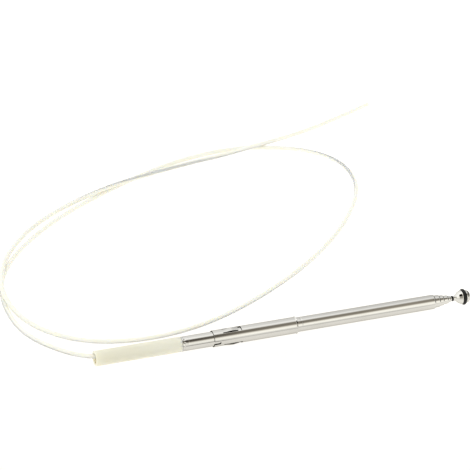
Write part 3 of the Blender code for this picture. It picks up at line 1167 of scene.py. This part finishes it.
studio = {
    "floorSize": 8.0,
    "floorColor": (0.14, 0.14, 0.14, 1),
    "floorRoughness": 0.9,
    "floorGlow": (0.87, 0.86, 0.83, 1),
    "nearGlow": (0.98, 0.955, 0.915, 1),
    "nearPlace": (-0.024, -0.010),
    "tipGlow": (1.12, 1.10, 1.05, 1),
    "tipPlace": (0.100, 0.125),
    "lineGlow": (0.16, 0.14, 0.11, 1),
    "lineFront": (-0.034, -0.027),
    "lineBack": (-0.023, -0.017),
    "lineEasing": (-0.048, -0.030),
    "lineLeft": 1.0,
    "lineRight": 0.42,
    "topLight": 0.4,
    "topSpread": 40.0,
    "topTilt": 8.0,
    "backdrop": 1.1,
    "evenLight": 0.95,
}

# Strengths, and pairs of angles or of places sideways. The angle goes in degrees from the front's
# horizon over the top to the back, and sideways goes from -1 to 1 at the tip's side
tent = {
    "darkEntry": (17.0, 48.0),
    "darkExit": (70.0, 83.0),
    "darkFar": 0.01,
    "darkLeft": 0.1,
    "darkMiddle": 0.31,
    "darkRight": 0.44,
    "darkTipDrop": 0.2,
    "leftPlace": (-0.2, 0.1),
    "middlePlace": (0.285, 0.33),
    "rightPlace": (0.33, 0.40),
    "tipDropPlace": (0.380, 0.392),
    "lowLeft": 1.2,
    "lowRight": 1.5,
    "lowPlace": (0.27, 0.32),
    "overheadLeft": 1.17,
    "overheadRight": 0.9,
    "overheadPlace": (0.26, 0.40),
    "ridge": 0.3,
    "ridgeRise": (84.0, 92.0),
    "ridgeFall": (94.0, 120.0),
    "aheadStart": (0.12, 0.22),
    "aheadStop": (0.5, 0.6),
    "behindStart": (-0.85, -0.75),
    "behindStop": (-0.30, -0.18),
    "behindGlow": 1.2,
    "behindLow": 0.65,
    "behindLowEntry": (-12.0, -2.0),
    "behindEntry": (36.0, 44.0),
    "behindExit": (82.0, 92.0),
    "tipSide": 0.14,
    "tipSidePlace": (0.54, 0.66),
    "lowTint": (1, 0.985, 0.93, 1),
    "darkTint": (1, 0.91, 0.78, 1),
}

white = (1, 1, 1, 1)


def makeFloor():
    half = studio["floorSize"] / 2
    mesh = bpy.data.meshes.new("floor")
    corners = [(-half, -half, 0), (half, -half, 0), (half, half, 0), (-half, half, 0)]
    mesh.from_pydata(corners, [], [(0, 1, 2, 3)])
    floor = bpy.data.objects.new("floor", mesh)
    bpy.context.scene.collection.objects.link(floor)
    finish = Finish("paleFloor", Roughness=studio["floorRoughness"], Emission_Strength=1.0)
    finish.color(studio["floorColor"])
    along, across, _ = finish.split(finish.place)
    near = finish.ease(across, *studio["nearPlace"])
    tipwards = finish.ease(along, *studio["tipPlace"])
    glow = finish.mixColors(near, studio["floorGlow"], studio["nearGlow"])
    glow = finish.mixColors(tipwards, glow, studio["tipGlow"])
    # A dim line in front of the mast that the chrome mirrors and the camera doesn't see
    line = finish.ease(across, *studio["lineFront"]) * (1.0 - finish.ease(across, *studio["lineBack"]))
    line = line * finish.ease(along, *studio["lineEasing"], studio["lineLeft"], studio["lineRight"])
    seen = finish.add("ShaderNodeLightPath", out="Is Camera Ray")
    glow = finish.mixColors(line * (1.0 - seen), glow, studio["lineGlow"])
    finish.feed(finish.shader.inputs["Emission Color"], glow)
    mesh.materials.append(finish.material)


def makeTopLight():
    # Lights the nylon and the floor from above. The chrome doesn't mirror it
    data = bpy.data.lights.new("topLight", "SUN")
    data.energy = studio["topLight"]
    data.angle = math.radians(studio["topSpread"])
    lamp = bpy.data.objects.new("topLight", data)
    bpy.context.scene.collection.objects.link(lamp)
    lamp.rotation_euler = (math.radians(studio["topTilt"]), 0, 0)
    lamp.visible_glossy = False


def makeSurroundings():
    world = bpy.data.worlds.new("studioTent")
    bpy.context.scene.world = world
    world.use_nodes = True
    tree = Tree(world.node_tree)
    sideways, forward, upward = tree.split(tree.add("ShaderNodeTexCoord", out="Generated"))
    angle = upward.angleTo(forward * -1.0) * (180 / math.pi)

    # How dark the dark part is, from one end to the other
    dark = tree.ease(sideways, *tent["leftPlace"], tent["darkFar"], tent["darkLeft"])
    dark = dark + tree.ease(sideways, *tent["middlePlace"], 0.0, tent["darkMiddle"] - tent["darkLeft"])
    dark = dark + tree.ease(sideways, *tent["rightPlace"], 0.0, tent["darkRight"] - tent["darkMiddle"])
    dark = dark - tree.ease(sideways, *tent["tipDropPlace"], 0.0, tent["darkTipDrop"])
    low = tree.ease(sideways, *tent["lowPlace"], tent["lowLeft"], tent["lowRight"])
    overhead = tree.ease(sideways, *tent["overheadPlace"], tent["overheadLeft"], tent["overheadRight"])
    ridge = tree.ease(angle, *tent["ridgeRise"]) * (1.0 - tree.ease(angle, *tent["ridgeFall"]))
    overhead = overhead + ridge * tent["ridge"]

    # Where it is dark ahead, and behind, where it starts lower and goes on further
    ahead = tree.ease(sideways, *tent["aheadStart"]) * (1.0 - tree.ease(sideways, *tent["aheadStop"]))
    behind = tree.ease(sideways, *tent["behindStart"]) * (1.0 - tree.ease(sideways, *tent["behindStop"]))
    lower = tree.ease(angle, *tent["behindLowEntry"], 0.0, tent["behindLow"])
    lower = lower.most(tree.ease(angle, *tent["behindEntry"]))
    entering = tree.ease(angle, *tent["darkEntry"]) * ahead + lower * behind
    leaving = tree.ease(angle, *tent["darkExit"]) * (1.0 - behind)
    leaving = leaving + tree.ease(angle, *tent["behindExit"]) * behind

    front = low * (1.0 - entering) + dark * entering
    glow = tree.ease(sideways, *tent["leftPlace"], tent["behindGlow"], 1.0)
    strength = (front * (1.0 - leaving) + overhead * leaving) * glow
    tipSide = tree.ease(sideways, *tent["tipSidePlace"])
    strength = strength * (1.0 - tipSide) + tipSide * tent["tipSide"]
    tint = tree.mixColors(entering, tent["lowTint"], tent["darkTint"])
    tint = tree.mixColors(leaving, tint, white)

    # Matt pieces are lit evenly, and the camera sees a white backdrop
    even = tree.add("ShaderNodeLightPath", out="Is Diffuse Ray")
    tint = tree.mixColors(even, tint, white)
    strength = strength * (1.0 - even) + even * studio["evenLight"]
    seen = tree.add("ShaderNodeLightPath", out="Is Camera Ray")
    background = world.node_tree.nodes["Background"]
    tree.feed(background.inputs["Color"], tree.mixColors(seen, tint, white))
    tree.feed(background.inputs["Strength"], strength * (1.0 - seen) + seen * studio["backdrop"])


makeFloor()
makeTopLight()
makeSurroundings()
bpy.context.scene.view_settings.view_transform = "Standard"
print("studio lit")


bpy.context.view_layer.update()
